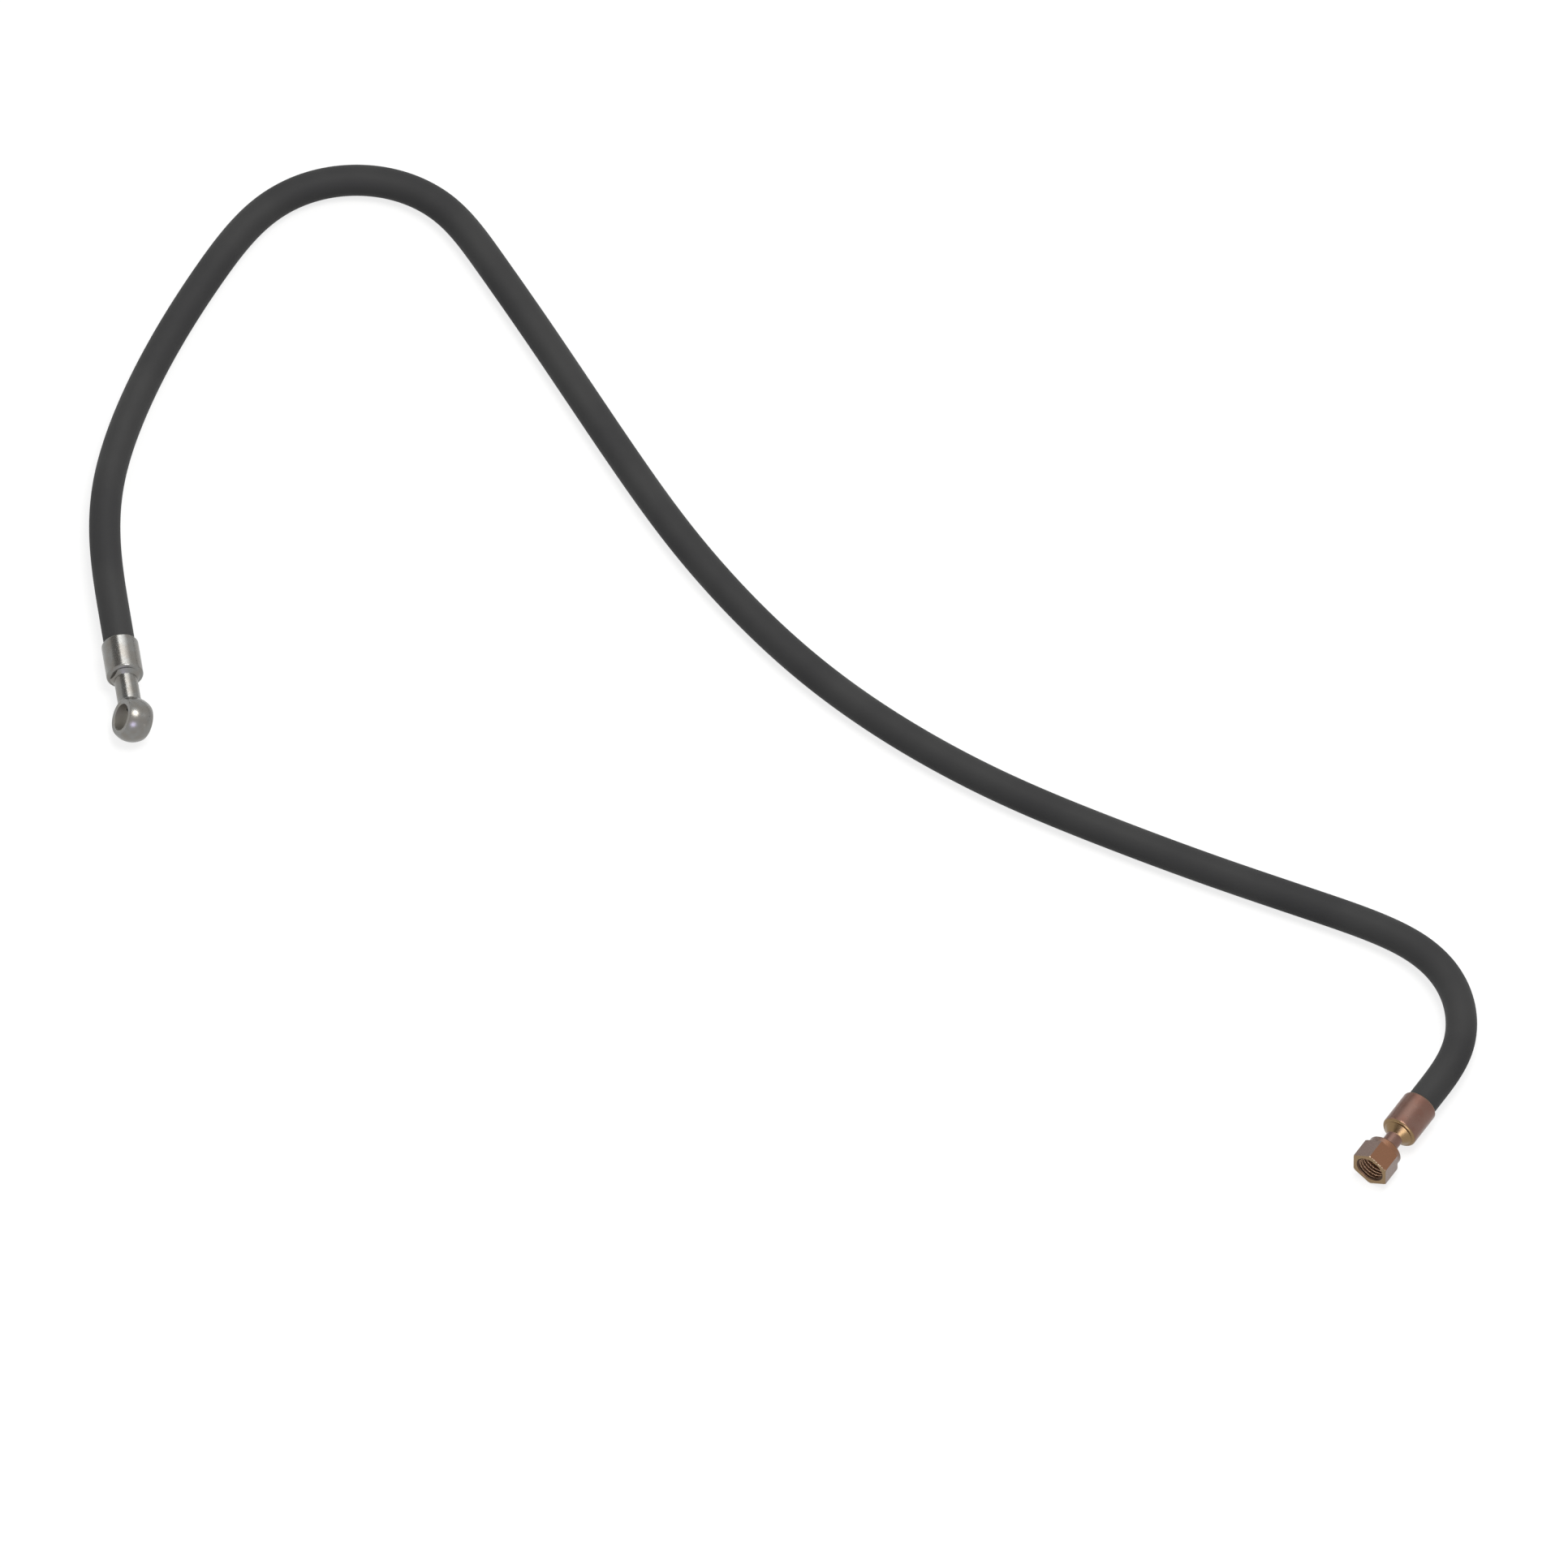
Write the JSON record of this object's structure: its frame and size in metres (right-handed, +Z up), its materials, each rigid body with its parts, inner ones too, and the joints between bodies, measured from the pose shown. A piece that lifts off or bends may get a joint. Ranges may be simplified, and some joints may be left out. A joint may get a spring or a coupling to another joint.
{
  "type": "hydraulic hose",
  "caption": "Rubber hydraulic hose with a crimped banjo fitting at one end and a hexagonal swivel nut at the other, laid in a loose S.",
  "frame": {"origin": "on the floor, midway between the banjo fitting and the swivel fitting", "axes": "+Z up from the floor, +Y along the banjo end from its eye into the hose, +X from the banjo end towards the swivel end"},
  "size_m": [0.4851, 0.531, 0.017],
  "materials": {
    "cover_rubber": "smooth matte black",
    "braid_wire": "drawn wire",
    "tube_rubber": "smooth",
    "zinc_plate": "clear zinc plate on turned steel",
    "yellow_passivate": "yellow passivated zinc plate on turned steel"
  },
  "bodies": {
    "hose": {"hose_cover": "cover_rubber", "wire_braid": "braid_wire", "inner_tube": "tube_rubber", "banjo_ferrule": "zinc_plate", "banjo_fitting": "zinc_plate", "swivel_ferrule": "yellow_passivate", "swivel_stem": "yellow_passivate"},
    "nut": {"swivel_nut": "yellow_passivate"}
  },
  "joints": [
    {"name": "nut_spin", "type": "hinge", "parent": "hose", "child": "nut", "pos_m": [0.20571, -0.15065, 0.00808], "axis": [-0.6428, -0.766, 0], "continuous": true}
  ]
}
